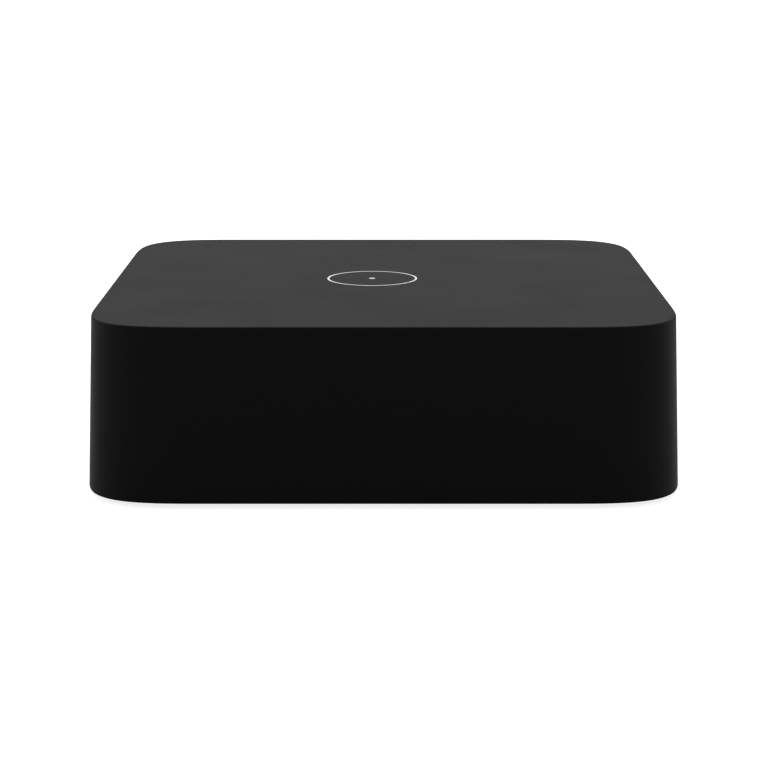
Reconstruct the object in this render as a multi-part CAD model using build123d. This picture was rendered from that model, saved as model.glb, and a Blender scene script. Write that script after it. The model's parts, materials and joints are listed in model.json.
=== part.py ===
"""Streaming media player: a small matt-black box with a drafted one-piece housing.

Millimetres, +Z up, front towards -Y, sockets at +Y. The origin is on the table, under the
middle of the case. Every separate piece is written to its own STEP file in parts/.
"""

from build123d import *
import os
from math import radians, tan

# ---------------------------------------------------------------- driving sizes

# Case
case_width = 100.0  # at the bottom rim, X
case_depth = 100.0  # at the bottom rim, Y
case_height = 30.0  # table to top face
side_draft = 2.0  # degrees; the sides lean in towards the top
corner_reach = 21.0  # from a corner of the outline to where its side starts to curve
corner_fullness = 0.845  # 0.552 would be a plain arc; more is fuller and eases in slower
wall = 1.8  # side wall where it meets the roof
roof = 2.2
top_edge_round = 0.4
rim_edge_round = 0.25

# Base cover and feet
cover_thickness = 2.0
cover_step = 0.8  # width of the step in the housing that the cover sits on
foot_radius = 6.0
foot_standoff = 0.8  # how far the feet hold the case off the table
foot_sink = 0.5  # how deep a foot is let into the cover
foot_inset = 11.5  # from the side of the case to a foot's centre
vent_count = 9
vent_width = 2.0
vent_length = 24.0
vent_pitch = 4.6
vent_y = -8.0
label_size = (46.0, 16.0)
label_corner = 2.0
label_depth = 0.3
label_y = 27.0

# Cover screws, hidden under the feet
boss_radius = 3.5
boss_rib = 1.2
cover_screw_radius = 1.3
cover_screw_grip = 9.0  # length inside the housing's boss
cover_head_radius = 2.5
cover_head_height = 1.5
clamp_thickness = 1.2  # cover material under a screw head
cross_width = 2.7  # cross recess of every screw
cross_arm = 0.7
cross_depth = 0.8

# Board
board_thickness = 1.6
board_standoff = 2.6
board_side_gap = 5.0
board_front_gap = 7.0
board_hole_radius = 1.6
standoff_radius = 3.0
board_screw_radius = 1.2
board_screw_length = 3.6
board_head_radius = 2.4
board_head_height = 1.6
board_hole_side = 4.6  # from the board's side edge to a hole's centre
board_hole_front_y = -24.0
board_hole_rear_y = 24.0
boss_clearance = 1.4  # from a screw boss to the board's corner notch

# Port panel and the window behind which it sits
panel_thickness = 2.0
window_width = 68.0
window_bottom = 4.6
window_margin = 1.4  # above the tallest socket
window_corner = 1.5
panel_lap = 1.5  # how far the panel reaches past the window, behind the wall
port_setback = 0.3  # sockets stop this far inside the panel's face
rail_width = 1.8
rail_lip = 1.4
panel_vent_count = 10
panel_vent_width = 1.5
panel_vent_height = 4.4
panel_vent_pitch = 3.0
panel_vent_x = -3.0
panel_vent_z = 18.2
panel_chamfer = 0.2  # round each hole in the panel's face

# Where each socket stands along the panel
power_x = -29.2
reset_x = -21.4
hdmi_x = -10.6
usb_x = 6.4
network_x = 24.4

# Sockets
hdmi_width, hdmi_height, hdmi_depth, hdmi_metal = 14.0, 4.55, 11.9, 0.4
hdmi_cut_x, hdmi_cut_z = 1.9, 1.5  # the sloping lower corners
hdmi_mouth_corner = 0.4
hdmi_tongue_width, hdmi_tongue_height, hdmi_tongue_length = 11.4, 1.2, 8.6
hdmi_tongue_rise = 0.35  # the tongue stands above the middle of the mouth
hdmi_contact_rows = (10, 9)  # above and below the tongue
hdmi_contact_pitch = 1.0
hdmi_contact_size = (0.28, 6.2, 0.1)
usb_width, usb_height, usb_depth, usb_metal = 12.5, 5.12, 13.9, 0.3
usb_mouth_corner = 0.5
usb_tongue_width, usb_tongue_height, usb_tongue_length = 11.1, 1.84, 8.9
usb_tongue_gap = 0.75  # from the tongue to the wall above it
usb_contacts_at = ((-3.5, 7.4), (-1.0, 6.4), (1.0, 6.4), (3.5, 7.4))  # X from the middle, length
usb_contact_width, usb_contact_thickness = 1.0, 0.15
tongue_setback = 1.0  # a tongue ends this far inside its mouth
tongue_root = 1.0  # and runs this far into the plastic behind it
contact_setback = 0.4  # HDMI contacts stop this far short of the tongue's end
core_foot_depth = 1.2  # foot behind a shell that carries it on the board
core_foot_inset = 2.0
core_foot_drop = 1.0  # below the top of the mouth
network_width, network_height, network_depth, network_metal = 15.4, 13.2, 21.0, 0.3
network_mouth_width, network_mouth_height, network_mouth_depth = 11.8, 7.0, 13.6
network_key_width, network_key_height = 6.2, 1.5
network_floor = 2.6  # plastic under the mouth
network_light_width, network_light_height, network_light_depth = 2.6, 2.0, 4.0
network_light_margin = 0.5
network_contact_count, network_contact_pitch, network_contact_wire = 8, 1.02, 0.35
network_contact_setback, network_contact_run, network_contact_rise = 3.6, 8.2, 2.6
power_width, power_height, power_depth = 9.0, 10.6, 14.0
power_bore_radius, power_bore_depth = 3.0, 10.0
power_pin_radius, power_pin_length = 1.0, 8.8
power_pin_seat = 2.0  # how far the pin is let into the body
power_barrel_wall = 1.2
power_axis_height = 6.3  # above the board
power_spring_width, power_spring_thickness, power_spring_length = 1.6, 0.3, 8.0
power_spring_setback = 1.6
power_spring_lift = 0.15  # off the floor of the bore
socket_stand = 0.6  # HDMI and USB shells stand this far off the board on their cores

# Reset button and its switch
button_radius = 1.4
button_flange_radius = 2.3
button_flange = 1.0
button_travel = 0.3
button_setback = 0.5  # its end lies this far inside the panel's face
button_height = 3.4  # axis above the board
plunger_radius = 1.0
plunger_length = 1.3  # outside the switch
plunger_hidden = 1.2  # inside it
button_edge = 0.3
switch_size = (6.0, 3.6, 5.0)

# Processor and its cooling
chip_size = (14.0, 14.0, 1.2)
chip_y = -2.0
pad_size = (13.0, 13.0, 0.6)
sink_size = 42.0
sink_base = 2.0
sink_height = 12.0
fin_count = 10
fin_thickness = 1.1
sink_pin_inset = 4.0
sink_pin_radius = 1.1
sink_pin_head = 2.4
sink_pin_head_height = 1.0
sink_pin_barb = 1.2  # how far the barb stands below the board
fin_clear_radius = 5.2  # round a pin
spring_wire = 0.25
spring_radius = 1.75
spring_turns = 4
spring_height = 4.0

# Other parts on the board
memory_size = (7.5, 13.3, 1.0)
memory_x = 14.6
storage_size = (13.0, 11.5, 1.0)
storage_y = 14.0
module_size = (15.0, 13.0, 0.8)
module_x, module_y = 31.0, -4.0
module_can_height = 1.6
module_can_inset = 0.8
module_plug_room = 3.0  # left free beside the can for the leads' plugs
can_wall = 0.2
can_round = 0.4
coil_size = (6.0, 6.0, 3.0)
coil_chamfer = 0.8
coil_xy = ((-31.0, -10.0), (-31.0, -1.0), (-31.0, 8.0))
capacitor_radius, capacitor_height = 3.15, 5.8
capacitor_base_side, capacitor_base_height, capacitor_round = 6.6, 1.0, 0.4
capacitor_xy = ((-31.0, 17.0), (-25.5, 24.0), (-24.8, 16.0))
crystal_size = (3.2, 2.5, 0.8)
crystal_xy = ((6.0, -27.0), (24.0, 8.0))
regulator_size = (5.0, 5.0, 1.0)
regulator_xy = ((-24.0, -10.0), (-24.0, 2.0))
transformer_size = (11.0, 6.5, 4.6)
transformer_xy = (28.0, 20.0)
small_part_size = (1.6, 0.8, 0.6)
small_part_row, small_part_pitch, small_part_y = 12, 3.4, -30.0

# Front: infra-red receiver and status light, both behind the closed front wall
receiver_x = -14.0
receiver_size = (5.0, 2.8, 6.6)
receiver_dome_radius, receiver_dome_reach = 2.0, 1.6
front_part_inset = 0.4  # from the board's front edge
receiver_pocket = (8.0, 8.0)
front_skin = 1.0  # wall left in front of the receiver
status_x = 10.0
led_size = (3.0, 1.4, 2.4)
guide_radius = 1.2
guide_holder_radius = 2.4
guide_holder_length = 3.0
guide_skin = 0.7  # wall left in front of the light guide

# Aerials, stuck to the side walls, and their leads
aerial_size = (0.6, 30.0, 7.0)
aerial_y, aerial_z = -2.0, 15.0
lead_radius = 0.565
lead_plug_radius, lead_plug_height = 1.25, 1.4
lead_plug_inset = 1.7  # from the side of the radio's board
lead_plug_side = 3.4  # from its middle line

# Clearances
slip = 0.15  # round a piece dropped into a recess
port_gap = 0.25  # round a socket in the panel
seat_gap = 0.08  # between a face and the piece that bears on it
screw_gap = 0.05  # round a screw or pin in its hole
air = 0.3  # between pieces that only pass each other
past = 1.0  # how far a cut runs past the face that it opens

# ------------------------------------------------------------- worked-out sizes

rim_z = foot_standoff
roof_z = case_height - roof
lean = (case_height - rim_z) * tan(radians(side_draft))
cavity_width = case_width - 2 * (lean + wall)
cavity_depth = case_depth - 2 * (lean + wall)
cover_top = rim_z + cover_thickness

foot_x = case_width / 2 - foot_inset
foot_y = case_depth / 2 - foot_inset
head_z = rim_z + foot_sink + air
clamp_z = head_z + cover_head_height
boss_z = clamp_z + clamp_thickness

board_bottom = cover_top + board_standoff
board_top = board_bottom + board_thickness
rear_wall = cavity_depth / 2
front_wall = -cavity_depth / 2
panel_face = rear_wall - seat_gap
panel_back = panel_face - panel_thickness
port_face = panel_face - port_setback
panel_width = window_width + 2 * panel_lap
panel_bottom = cover_top + seat_gap

board_width = cavity_width - 2 * board_side_gap
board_front = front_wall + board_front_gap
board_rear = panel_back - air
board_hole_x = board_width / 2 - board_hole_side
notch_x = foot_x - boss_radius - boss_clearance
notch_y = foot_y - boss_radius - boss_clearance
rail_lip_x = panel_width / 2 + slip - rail_lip
rear_notch_x = min(notch_x, rail_lip_x - air)

hdmi_z = board_top + socket_stand + hdmi_metal + hdmi_height / 2
usb_z = board_top + socket_stand + usb_metal + usb_height / 2
network_z = board_top + network_metal + network_height / 2
network_top = network_z + network_height / 2 + network_metal
network_mouth_low = network_z - network_height / 2 + network_floor
network_mouth_z = network_mouth_low + network_mouth_height / 2
power_z = board_top + power_axis_height
window_top = network_top + window_margin
window_height = window_top - window_bottom
window_z = (window_top + window_bottom) / 2
panel_top = window_top + panel_lap
reset_z = board_top + button_height

chip_top = board_top + chip_size[2]
sink_z = chip_top + pad_size[2]
sink_pin_at = sink_size / 2 - sink_pin_inset
module_top = board_top + module_size[2]
guide_z = board_top + led_size[2] / 2
receiver_z = board_top + receiver_size[2] - receiver_size[0] / 2
front_parts_y = board_front + front_part_inset
flange_face = panel_back - seat_gap / 2
plunger_tip = flange_face - button_flange
switch_face = plunger_tip - plunger_length

four_corners = [(sx, sy) for sx in (-1, 1) for sy in (-1, 1)]


# -------------------------------------------------------------------- helpers


def block(low, high):
    """Box between two corners."""
    size = [b - a for a, b in zip(low, high)]
    middle = [(a + b) / 2 for a, b in zip(low, high)]
    return Pos(*middle) * Box(*size)


def standing(size, x, y, z):
    """Box of a given size standing on height z, centred at x, y."""
    return Pos(x, y, z + size[2] / 2) * Box(*size)


def post(radius, height, x, y, z):
    """Upright cylinder standing on height z."""
    return Pos(x, y, z + height / 2) * Cylinder(radius, height)


def inward(sketch, y, depth):
    """Sketch drawn in X and Z, pushed from y into the case, towards the front."""
    return extrude(Plane.XZ.offset(-y) * sketch, amount=depth)


def rod_in(radius, x, z, y, depth):
    """Cylinder lying along Y, from y towards the front."""
    return inward(Pos(x, z) * Circle(radius), y, depth)


def together(shapes):
    """Separate solids of one node."""
    return Compound(children=list(shapes))


def case_outline(width, depth, reach):
    """Rectangle whose corners are single Bezier curves that ease into the sides."""
    x, y = width / 2, depth / 2
    near = reach * (1 - corner_fullness)
    edges = [Line((s * x, reach - y), (s * x, y - reach)) for s in (-1, 1)]
    edges += [Line((reach - x, s * y), (x - reach, s * y)) for s in (-1, 1)]
    for sx, sy in four_corners:
        edges.append(
            Bezier(
                (sx * (x - reach), sy * y),
                (sx * (x - near), sy * y),
                (sx * x, sy * (y - near)),
                (sx * x, sy * (y - reach)),
            )
        )
    return make_face(edges)


def inset_outline(inset):
    """The bottom rim's outline, moved in by inset all round."""
    return case_outline(case_width - 2 * inset, case_depth - 2 * inset, corner_reach - inset)


def prism(sketch, low, high):
    """Sketch pushed straight up from height low to height high."""
    return extrude(Pos(0, 0, low) * sketch, amount=high - low)


# -------------------------------------------------------------------- housing


def housing_skin():
    """Outer form: drafted sides, small rounds at the top edge and the rim."""
    bottom = Pos(0, 0, rim_z) * inset_outline(0)
    top = Pos(0, 0, case_height) * inset_outline(lean)
    form = loft([bottom, top], ruled=True)
    form = fillet(form.edges().group_by(Axis.Z)[-1], top_edge_round)
    return fillet(form.edges().group_by(Axis.Z)[0], rim_edge_round)


def screw_bosses():
    """Four bosses for the cover screws, each tied to both walls by ribs."""
    made = []
    half = boss_rib / 2
    for sx, sy in four_corners:
        x, y = sx * foot_x, sy * foot_y
        made.append(post(boss_radius, roof_z - boss_z, x, y, boss_z))
        x0, x1 = sorted((x, sx * (cavity_width + wall) / 2))
        y0, y1 = sorted((y, sy * (cavity_depth + wall) / 2))
        made.append(block((x0, y - half, board_top), (x1, y + half, roof_z)))
        made.append(block((x - half, y0, board_top), (x + half, y1, roof_z)))
    return made


def screw_pilots():
    """Holes in the bosses that the cover screws cut their thread in."""
    depth = cover_screw_grip + air
    radius = cover_screw_radius + screw_gap
    return [post(radius, depth, sx * foot_x, sy * foot_y, boss_z) for sx, sy in four_corners]


def panel_rails():
    """Hooked rails on the rear wall, one at each end, that the panel slides up into."""
    made = []
    end = panel_width / 2 + slip
    back = panel_back - seat_gap
    front = back - rail_width
    for side in (-1, 1):
        rail_x = sorted((side * end, side * (end + rail_width)))
        lip_x = sorted((side * rail_lip_x, side * (end + rail_width)))
        made.append(block((rail_x[0], front, boss_z), (rail_x[1], rear_wall + wall / 2, panel_top)))
        made.append(block((lip_x[0], front, boss_z), (lip_x[1], back, panel_top)))
    return made


def panel_window():
    """Opening in the rear wall that the sockets are reached through."""
    shape = Pos(0, window_z) * RectangleRounded(window_width, window_height, window_corner)
    outside = case_depth / 2 + past
    return inward(shape, outside, outside - panel_back)


def panel_seat():
    """Flat seat in the rear wall, so that the panel bears evenly where the wall curves."""
    half = panel_width / 2 + slip
    return block((-half, panel_back, cover_top), (half, rear_wall, panel_top + slip))


def outer_wall(z):
    """How far the outside of the front wall is from the middle at height z."""
    return case_depth / 2 - (z - rim_z) * tan(radians(side_draft))


def guide_end():
    """Y of the inner face of the skin that is left in front of the light guide."""
    return guide_skin - outer_wall(guide_z)


def front_pockets():
    """Thin spot in front of the receiver, and the light guide's blind bore."""
    thin_face = front_skin - outer_wall(receiver_z + receiver_pocket[1] / 2)
    window = Pos(receiver_x, receiver_z) * Rectangle(*receiver_pocket)
    thin = inward(window, front_wall, front_wall - thin_face)
    mouth = front_wall + guide_holder_length
    bore = rod_in(guide_radius + screw_gap, status_x, guide_z, mouth, mouth - guide_end())
    return [thin, bore]


def guide_holder():
    """Short tube on the front wall that carries the light guide."""
    mouth = front_wall + guide_holder_length
    return rod_in(guide_holder_radius, status_x, guide_z, mouth, guide_holder_length + wall / 2)


def housing():
    """Top and sides in one moulding, open underneath."""
    cavity = prism(inset_outline(lean + wall), rim_z, roof_z)
    step = prism(inset_outline(lean + wall - cover_step), rim_z, cover_top)
    body = housing_skin() - cavity - step
    body = body + screw_bosses() + panel_rails() + guide_holder()
    return body - screw_pilots() - panel_window() - panel_seat() - front_pockets()


# ----------------------------------------------------------- base cover and feet


def vent_slots():
    """Row of slots through the base cover, under the processor."""
    slot = SlotOverall(vent_length, vent_width, rotation=90)
    first = -(vent_count - 1) / 2 * vent_pitch
    row = [Pos(first + i * vent_pitch, vent_y) * slot for i in range(vent_count)]
    return prism(Sketch() + row, rim_z - past, cover_top + past)


def board_hole_places():
    rows = (board_hole_front_y, board_hole_rear_y)
    return [(sx * board_hole_x, y) for sx in (-1, 1) for y in rows]


def base_cover():
    """Plate with foot recesses, screw wells, vents and the standoffs for the board."""
    plate = prism(inset_outline(lean + wall - cover_step + slip), rim_z, cover_top)
    well = cover_head_radius + slip
    for sx, sy in four_corners:
        x, y = sx * foot_x, sy * foot_y
        plate += post(well + clamp_thickness, boss_z - seat_gap - cover_top, x, y, cover_top)
        plate -= post(foot_radius + slip, foot_sink, x, y, rim_z)
        plate -= post(well, clamp_z - rim_z, x, y, rim_z)
        plate -= post(cover_screw_radius + 2 * slip, boss_z, x, y, rim_z)
    screw_low = board_bottom - board_screw_length
    for x, y in board_hole_places():
        plate += post(standoff_radius, board_standoff, x, y, cover_top)
        plate -= post(board_screw_radius + screw_gap, board_screw_length, x, y, screw_low)
    label = Pos(0, label_y) * RectangleRounded(*label_size, label_corner)
    return plate - vent_slots() - prism(label, rim_z, rim_z + label_depth)


def feet():
    """Four round pads, stuck over the cover screws."""
    made = []
    for sx, sy in four_corners:
        pad = post(foot_radius, foot_sink + foot_standoff, sx * foot_x, sy * foot_y, 0)
        made.append(fillet(pad.edges().group_by(Axis.Z)[0], foot_standoff / 2))
    return together(made)


def cross_slot(z):
    """Cross recess cut into a screw head whose end lies at height z."""
    arms = Box(cross_width, cross_arm, 2 * cross_depth) + Box(cross_arm, cross_width, 2 * cross_depth)
    return Pos(0, 0, z) * arms


def cover_screws():
    head = post(cover_head_radius, cover_head_height, 0, 0, head_z)
    shank = post(cover_screw_radius, clamp_thickness + cover_screw_grip, 0, 0, clamp_z)
    screw = head + shank - cross_slot(head_z)
    return together(Pos(sx * foot_x, sy * foot_y, 0) * screw for sx, sy in four_corners)


def board_screws():
    head = post(board_head_radius, board_head_height, 0, 0, board_top)
    head = fillet(head.edges().group_by(Axis.Z)[-1], board_head_height / 3)
    tip = board_bottom - board_screw_length
    shank = post(board_screw_radius, board_top - tip, 0, 0, tip)
    screw = head + shank - cross_slot(board_top + board_head_height)
    return together(Pos(x, y, 0) * screw for x, y in board_hole_places())


# ------------------------------------------------------------------ port panel


def hdmi_mouth():
    """Opening of the HDMI socket: its lower corners slope in."""
    x, z = hdmi_width / 2, hdmi_height / 2
    low = [(x, hdmi_cut_z - z), (x - hdmi_cut_x, -z), (hdmi_cut_x - x, -z), (-x, hdmi_cut_z - z)]
    corners = [(-x, z), (x, z)] + low
    face = make_face(Polyline(*corners, close=True))
    return Pos(hdmi_x, hdmi_z) * fillet(face.vertices(), hdmi_mouth_corner)


def usb_mouth():
    return Pos(usb_x, usb_z) * RectangleRounded(usb_width, usb_height, usb_mouth_corner)


def network_face():
    width, height = network_width + 2 * network_metal, network_height + 2 * network_metal
    return Pos(network_x, network_z) * Rectangle(width, height)


def panel_vents():
    """Row of upright slots above the HDMI and USB sockets."""
    slot = SlotOverall(panel_vent_height, panel_vent_width, rotation=90)
    first = panel_vent_x - (panel_vent_count - 1) / 2 * panel_vent_pitch
    places = [Pos(first + i * panel_vent_pitch, panel_vent_z) for i in range(panel_vent_count)]
    return Sketch() + [place * slot for place in places]


def port_panel():
    """Plate behind the window, with a hole for each socket, the reset button and air."""
    half = panel_width / 2
    plate = block((-half, panel_back, panel_bottom), (half, panel_face, panel_top))
    holes = [
        offset(hdmi_mouth(), hdmi_metal + port_gap),
        offset(usb_mouth(), usb_metal + port_gap),
        offset(network_face(), port_gap, kind=Kind.INTERSECTION),
        Pos(power_x, power_z) * Circle(power_bore_radius + power_barrel_wall + port_gap),
        Pos(reset_x, reset_z) * Circle(button_radius + slip),
        panel_vents(),
    ]
    for hole in holes:
        plate -= inward(hole, panel_face, panel_thickness)
    face = plate.faces().sort_by(Axis.Y)[-1]
    return chamfer(face.inner_wires().edges(), panel_chamfer)


# --------------------------------------------------------------------- sockets


def socket_core(mouth, tongue, x, width, depth, tongue_length, foot_top):
    """Plastic that fills the back of a shell, with its tongue and its foot on the board."""
    fill_face = port_face - tongue_setback - tongue_length
    shell_back = port_face - depth
    fill = inward(offset(mouth, -seat_gap), fill_face, fill_face - shell_back)
    blade = inward(tongue, port_face - tongue_setback, tongue_length + tongue_root)
    half = width / 2 - core_foot_inset
    foot_front = (x + half, shell_back, foot_top)
    foot = block((x - half, shell_back - core_foot_depth, board_top), foot_front)
    return fill + blade + foot


def hdmi_shell():
    """Folded metal sleeve of the HDMI socket."""
    mouth = hdmi_mouth()
    return inward(offset(mouth, hdmi_metal) - mouth, port_face, hdmi_depth)


def hdmi_core():
    blade = Rectangle(hdmi_tongue_width, hdmi_tongue_height)
    tongue = Pos(hdmi_x, hdmi_z + hdmi_tongue_rise) * blade
    top = hdmi_z + hdmi_height / 2 - core_foot_drop
    sizes = (hdmi_width, hdmi_depth, hdmi_tongue_length)
    return socket_core(hdmi_mouth(), tongue, hdmi_x, *sizes, top)


def hdmi_contacts():
    """Nineteen strips on the tongue, those below half a pitch out from those above."""
    made = []
    length, thickness = hdmi_contact_size[1:]
    upper = hdmi_z + hdmi_tongue_rise + hdmi_tongue_height / 2
    lower = upper - hdmi_tongue_height - thickness
    y = port_face - tongue_setback - contact_setback - length / 2
    for count, z in zip(hdmi_contact_rows, (upper, lower)):
        for i in range(count):
            x = hdmi_x + (i - (count - 1) / 2) * hdmi_contact_pitch
            made.append(standing(hdmi_contact_size, x, y, z))
    return together(made)


def usb_shell():
    """Folded metal sleeve of the USB socket."""
    mouth = usb_mouth()
    return inward(offset(mouth, usb_metal) - mouth, port_face, usb_depth)


def usb_tongue_low():
    return usb_z + usb_height / 2 - usb_tongue_gap - usb_tongue_height


def usb_core():
    blade = Rectangle(usb_tongue_width, usb_tongue_height)
    tongue = Pos(usb_x, usb_tongue_low() + usb_tongue_height / 2) * blade
    top = usb_z + usb_height / 2 - core_foot_drop
    return socket_core(usb_mouth(), tongue, usb_x, usb_width, usb_depth, usb_tongue_length, top)


def usb_contacts():
    """Four strips under the tongue, the outer two longer."""
    made = []
    root = port_face - tongue_setback - usb_tongue_length
    z = usb_tongue_low() - usb_contact_thickness
    for x, length in usb_contacts_at:
        size = (usb_contact_width, length, usb_contact_thickness)
        made.append(standing(size, usb_x + x, root + length / 2, z))
    return together(made)


def network_light_places():
    x = (network_width - network_light_width) / 2 - network_light_margin
    z = network_z + (network_height - network_light_height) / 2 - network_light_margin
    shape = Rectangle(network_light_width, network_light_height)
    return [Pos(network_x + side * x, z) * shape for side in (-1, 1)]


def network_housing():
    """Plastic block with the plug's mouth, the latch key above it and two light windows."""
    block_face = Pos(network_x, network_z) * Rectangle(network_width, network_height)
    mouth = Pos(network_x, network_mouth_z) * Rectangle(network_mouth_width, network_mouth_height)
    key_z = network_mouth_z + (network_mouth_height + network_key_height) / 2
    key = Pos(network_x, key_z) * Rectangle(network_key_width, network_key_height)
    body = inward(block_face, port_face, network_depth)
    body -= inward(mouth + key, port_face, network_mouth_depth)
    for window in network_light_places():
        body -= inward(window, port_face, network_light_depth)
    return body


def network_lights():
    made = []
    for window in network_light_places():
        lens = offset(window, -screw_gap, kind=Kind.INTERSECTION)
        made.append(inward(lens, port_face, network_light_depth - seat_gap))
    return together(made)


def network_shield():
    """Folded sheet round the block's top, sides and back."""
    outer = network_face()
    inner = Pos(network_x, network_z) * Rectangle(network_width, network_height)
    sleeve = inward(outer - inner, port_face, network_depth)
    back = inward(outer, port_face - network_depth, network_metal)
    low = (network_x - network_width, port_face - network_depth - past, board_top - past)
    high = (network_x + network_width, port_face + past, board_top + network_metal)
    return sleeve + back - block(low, high)


def network_contacts():
    """Wires that rise from the floor of the mouth and slope back."""
    made = []
    wire = network_contact_wire
    y = port_face - network_contact_setback
    for i in range(network_contact_count):
        x = network_x + (i - (network_contact_count - 1) / 2) * network_contact_pitch
        low = (x, y, network_mouth_low + wire / 2)
        high = (x, y - network_contact_run, network_mouth_low + network_contact_rise)
        path = Line(low, high)
        made.append(sweep((path ^ 0) * Rectangle(wire, wire), path=path))
    return together(made)


def power_body():
    """Plastic block with the inlet's barrel, its bore and the pin's seat."""
    face = Pos(power_x, board_top + power_height / 2) * Rectangle(power_width, power_height)
    body = inward(face, panel_back - seat_gap, power_depth)
    barrel_radius = power_bore_radius + power_barrel_wall
    barrel = rod_in(barrel_radius, power_x, power_z, port_face, port_face - panel_back + past)
    bore = rod_in(power_bore_radius, power_x, power_z, port_face, power_bore_depth)
    bottom = port_face - power_bore_depth
    seat = rod_in(power_pin_radius, power_x, power_z, bottom, power_pin_seat)
    return body + barrel - bore - seat


def power_pin():
    """Centre pin with a rounded end."""
    tip = port_face - power_bore_depth + power_pin_length
    length = power_pin_length + power_pin_seat - seat_gap
    pin = rod_in(power_pin_radius, power_x, power_z, tip, length)
    return fillet(pin.edges().sort_by(Axis.Y)[-1], power_pin_radius * 0.8)


def power_spring():
    """Leaf contact lying along the floor of the bore."""
    size = (power_spring_width, power_spring_length, power_spring_thickness)
    y = port_face - power_spring_setback - power_spring_length / 2
    return standing(size, power_x, y, power_z - power_bore_radius + power_spring_lift)


# ---------------------------------------------------------------- reset button


def reset_button():
    """Cap with a flange behind the panel that keeps it in its hole."""
    end = panel_face - button_setback
    stem = rod_in(button_radius, reset_x, reset_z, end, end - plunger_tip)
    stem = fillet(stem.edges().sort_by(Axis.Y)[-1], button_edge)
    return stem + rod_in(button_flange_radius, reset_x, reset_z, flange_face, button_flange)


def reset_plunger():
    length = plunger_length + plunger_hidden
    return rod_in(plunger_radius, reset_x, reset_z, plunger_tip, length)


def reset_switch():
    """Switch body with room behind the plunger for its travel."""
    width, depth, height = switch_size
    low = (reset_x - width / 2, switch_face - depth, board_top)
    body = block(low, (reset_x + width / 2, switch_face, board_top + height))
    room = plunger_hidden + button_travel + air
    return body - rod_in(plunger_radius + screw_gap, reset_x, reset_z, switch_face, room)


# ----------------------------------------------------------- board and its parts


def main_board():
    """Circuit board, notched round the screw bosses and, at the back, the panel's rails."""
    half = board_width / 2
    board = block((-half, board_front, board_bottom), (half, board_rear, board_top))
    for sx, sy in four_corners:
        side_x = rear_notch_x if sy > 0 else notch_x
        x0, x1 = sorted((sx * side_x, sx * case_width))
        y0, y1 = sorted((sy * notch_y, sy * case_depth))
        board -= block((x0, y0, board_bottom - past), (x1, y1, board_top + past))
    for x, y in board_hole_places():
        board -= post(board_hole_radius, board_thickness, x, y, board_bottom)
    for x, y in sink_pin_places():
        board -= post(sink_pin_radius + screw_gap, board_thickness, x, y, board_bottom)
    return board


def processor():
    return standing(chip_size, 0, chip_y, board_top)


def thermal_pad():
    return standing(pad_size, 0, chip_y, chip_top)


def sink_pin_places():
    return [(-sink_pin_at, chip_y + sink_pin_at), (sink_pin_at, chip_y - sink_pin_at)]


def heat_sink():
    """Finned block with two corners left free of fins for the spring pins."""
    sink = standing((sink_size, sink_size, sink_base), 0, chip_y, sink_z)
    pitch = (sink_size - fin_thickness) / (fin_count - 1)
    fin = (fin_thickness, sink_size, sink_height - sink_base)
    for i in range(fin_count):
        x = -sink_size / 2 + fin_thickness / 2 + i * pitch
        sink += standing(fin, x, chip_y, sink_z + sink_base)
    for x, y in sink_pin_places():
        sink -= post(fin_clear_radius, sink_height, x, y, sink_z + sink_base)
        sink -= post(sink_pin_radius + 2 * screw_gap, sink_base, x, y, sink_z)
    return sink


def sink_pins():
    """Spring pins: a head above the spring and a barb below the board."""
    made = []
    spring_top = sink_z + sink_base + spring_height
    tip = board_bottom - sink_pin_barb
    for x, y in sink_pin_places():
        pin = post(sink_pin_radius, spring_top - tip, x, y, tip)
        pin += post(sink_pin_head, sink_pin_head_height, x, y, spring_top)
        height = sink_pin_barb - seat_gap
        barb = Cone(sink_pin_radius * 0.8, sink_pin_radius * 1.35, height)
        made.append(pin + Pos(x, y, tip + height / 2) * barb)
    return together(made)


def sink_springs():
    """Helical springs round the pins, between the heat sink and the pin heads."""
    made = []
    length = spring_height - 2 * spring_wire - 2 * seat_gap
    for x, y in sink_pin_places():
        path = Helix(pitch=length / spring_turns, height=length, radius=spring_radius)
        coil = sweep((path ^ 0) * Circle(spring_wire), path=path, is_frenet=True)
        made.append(Pos(x, y, sink_z + sink_base + spring_wire + seat_gap) * coil)
    return together(made)


def memory_chips():
    return together(standing(memory_size, s * memory_x, chip_y, board_top) for s in (-1, 1))


def storage_chip():
    return standing(storage_size, 0, storage_y, board_top)


def wireless_board():
    return standing(module_size, module_x, module_y, board_top)


def wireless_can():
    """Pressed lid over the radio, open underneath."""
    width = module_size[0] - 2 * module_can_inset - module_plug_room
    depth = module_size[1] - 2 * module_can_inset
    x = module_x - module_plug_room / 2
    can = standing((width, depth, module_can_height), x, module_y, module_top)
    can = fillet(can.edges().group_by(Axis.Z)[-1] + can.edges().filter_by(Axis.Z), can_round)
    inside = (width - 2 * can_wall, depth - 2 * can_wall, module_can_height - can_wall)
    return can - standing(inside, x, module_y, module_top)


def placed(size, places):
    return together(standing(size, x, y, board_top) for x, y in places)


def power_coils():
    made = []
    for x, y in coil_xy:
        coil = standing(coil_size, x, y, board_top)
        made.append(chamfer(coil.edges().filter_by(Axis.Z), coil_chamfer))
    return together(made)


def capacitors():
    """Can capacitors on their square plastic bases, each made as one solid."""
    made = []
    base = (capacitor_base_side, capacitor_base_side, capacitor_base_height)
    for x, y in capacitor_xy:
        can = post(capacitor_radius, capacitor_height, x, y, board_top)
        can = fillet(can.edges().group_by(Axis.Z)[-1], capacitor_round)
        made.append(can + standing(base, x, y, board_top))
    return together(made)


def small_parts():
    """Row of the smallest parts, near the front of the board."""
    first = -(small_part_row - 1) / 2 * small_part_pitch
    places = [(first + i * small_part_pitch, small_part_y) for i in range(small_part_row)]
    return placed(small_part_size, places)


def network_transformer():
    return standing(transformer_size, *transformer_xy, board_top)


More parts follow.
